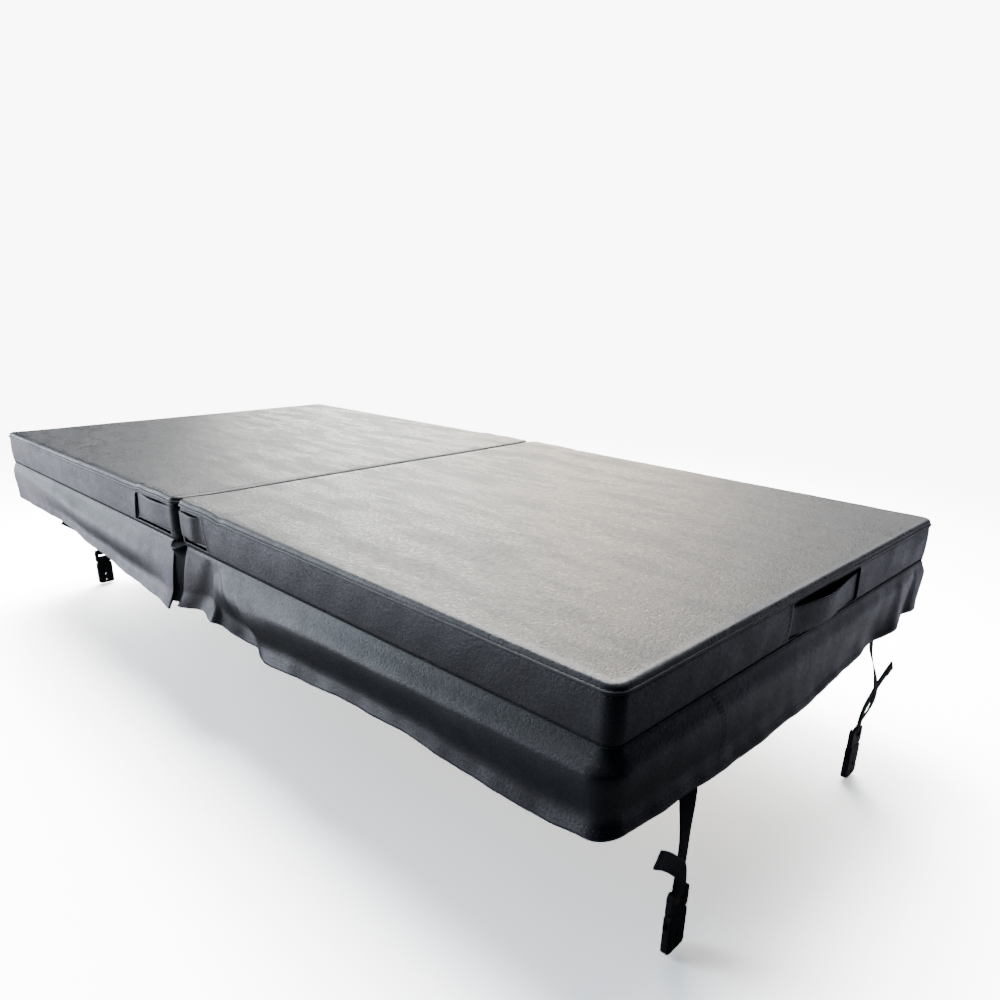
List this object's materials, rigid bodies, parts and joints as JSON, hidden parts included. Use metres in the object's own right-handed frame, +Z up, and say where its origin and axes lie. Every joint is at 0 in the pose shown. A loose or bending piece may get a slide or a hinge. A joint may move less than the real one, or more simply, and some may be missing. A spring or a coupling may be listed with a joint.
{
  "type": "spa cover",
  "caption": "Two-panel folding hot tub cover: foam panels in vinyl on a fabric fold, with a hanging skirt, side handles and locking straps.",
  "frame": {"origin": "middle of the fold, in the plane of the underside that rests on the tub's rim", "axes": "+X along the cover towards the lifting panel, +Y across it towards the rear, +Z up"},
  "size_m": [2.0322, 1.0022, 0.4722],
  "materials": {
    "top_vinyl": "satin",
    "side_vinyl": "satin",
    "skirt_vinyl": "satin",
    "handle_vinyl": "satin",
    "welt_vinyl": "satin",
    "seal_vinyl": "satin",
    "liner_mesh": "matte",
    "hinge_cloth": "matte",
    "gusset_cloth": "matte",
    "vapor_film": "gloss",
    "galvanised_steel": "satin",
    "eps_foam": "matte",
    "zip_cloth": "matte",
    "zip_nylon": "satin",
    "zip_metal": "satin",
    "eyelet_plastic": "satin",
    "webbing": "matte",
    "buckle_plastic": "satin"
  },
  "bodies": {
    "left_panel": {"left_top_panel": "top_vinyl", "left_side_band": "side_vinyl", "left_fold_wall": "side_vinyl", "left_bottom_liner": "liner_mesh", "left_vapor_wrap": "vapor_film", "left_stiffener_channel": "galvanised_steel", "left_foam_core": "eps_foam", "left_foam_edges": "eps_foam", "left_handle_pockets": "side_vinyl", "left_welt": "welt_vinyl", "left_skirt": "skirt_vinyl", "left_hem": "skirt_vinyl", "left_end_handle": "handle_vinyl", "left_front_handle": "handle_vinyl", "left_rear_handle": "handle_vinyl", "left_hinge_leaf": "hinge_cloth", "left_zip_tapes": "zip_cloth", "left_zip_coils": "zip_nylon", "left_drain_eyelets": "eyelet_plastic", "left_strap_anchors": "webbing", "fold_seal": "seal_vinyl", "fold_gussets": "gusset_cloth"},
    "right_panel": {"right_top_panel": "top_vinyl", "right_side_band": "side_vinyl", "right_fold_wall": "side_vinyl", "right_bottom_liner": "liner_mesh", "right_vapor_wrap": "vapor_film", "right_stiffener_channel": "galvanised_steel", "right_foam_core": "eps_foam", "right_foam_edges": "eps_foam", "right_handle_pockets": "side_vinyl", "right_welt": "welt_vinyl", "right_skirt": "skirt_vinyl", "right_hem": "skirt_vinyl", "right_end_handle": "handle_vinyl", "right_front_handle": "handle_vinyl", "right_rear_handle": "handle_vinyl", "right_hinge_leaf": "hinge_cloth", "right_zip_tapes": "zip_cloth", "right_zip_coils": "zip_nylon", "right_drain_eyelets": "eyelet_plastic", "right_strap_anchors": "webbing"},
    "left_front_strap": {"left_front_strap": "webbing", "left_front_buckle_plug": "buckle_plastic"},
    "left_front_socket": {"left_front_buckle_socket": "buckle_plastic"},
    "left_rear_strap": {"left_rear_strap": "webbing", "left_rear_buckle_plug": "buckle_plastic"},
    "left_rear_socket": {"left_rear_buckle_socket": "buckle_plastic"},
    "left_slider": {"left_zip_slider": "zip_metal"},
    "left_pull": {"left_zip_pull": "zip_metal"},
    "right_front_strap": {"right_front_strap": "webbing", "right_front_buckle_plug": "buckle_plastic"},
    "right_front_socket": {"right_front_buckle_socket": "buckle_plastic"},
    "right_rear_strap": {"right_rear_strap": "webbing", "right_rear_buckle_plug": "buckle_plastic"},
    "right_rear_socket": {"right_rear_buckle_socket": "buckle_plastic"},
    "right_slider": {"right_zip_slider": "zip_metal"},
    "right_pull": {"right_zip_pull": "zip_metal"}
  },
  "joints": [
    {"name": "fold", "type": "hinge", "parent": "left_panel", "child": "right_panel", "pos_m": [0, 0, 0.085], "axis": [0, -1, 0], "range_deg": [0, 180]},
    {"name": "left_front_strap_swing", "type": "hinge", "parent": "left_panel", "child": "left_front_strap", "pos_m": [-0.992, -0.3, -0.13], "axis": [0, 1, 0], "range_deg": [-75, 85]},
    {"name": "left_front_socket_slide", "type": "slide", "parent": "left_front_strap", "child": "left_front_socket", "axis": [0, 0, -1], "range_m": [0, 0.035]},
    {"name": "left_rear_strap_swing", "type": "hinge", "parent": "left_panel", "child": "left_rear_strap", "pos_m": [-0.992, 0.3, -0.13], "axis": [0, 1, 0], "range_deg": [-75, 85]},
    {"name": "left_rear_socket_slide", "type": "slide", "parent": "left_rear_strap", "child": "left_rear_socket", "axis": [0, 0, -1], "range_m": [0, 0.035]},
    {"name": "left_zip_slide", "type": "slide", "parent": "left_panel", "child": "left_slider", "axis": [0, 1, 0], "range_m": [0, 0.84]},
    {"name": "left_pull_swing", "type": "hinge", "parent": "left_slider", "child": "left_pull", "pos_m": [-0.00335, -0.4224, 0.046], "axis": [0, 0, -1], "range_deg": [0, 15]},
    {"name": "right_front_strap_swing", "type": "hinge", "parent": "right_panel", "child": "right_front_strap", "pos_m": [0.992, -0.3, -0.13], "axis": [0, -1, 0], "range_deg": [-75, 85]},
    {"name": "right_front_socket_slide", "type": "slide", "parent": "right_front_strap", "child": "right_front_socket", "axis": [0, 0, -1], "range_m": [0, 0.035]},
    {"name": "right_rear_strap_swing", "type": "hinge", "parent": "right_panel", "child": "right_rear_strap", "pos_m": [0.992, 0.3, -0.13], "axis": [0, -1, 0], "range_deg": [-75, 85]},
    {"name": "right_rear_socket_slide", "type": "slide", "parent": "right_rear_strap", "child": "right_rear_socket", "axis": [0, 0, -1], "range_m": [0, 0.035]},
    {"name": "right_zip_slide", "type": "slide", "parent": "right_panel", "child": "right_slider", "axis": [0, -1, 0], "range_m": [0, 0.84]},
    {"name": "right_pull_swing", "type": "hinge", "parent": "right_slider", "child": "right_pull", "pos_m": [0.00335, 0.4224, 0.046], "axis": [0, 0, -1], "range_deg": [0, 15]}
  ]
}
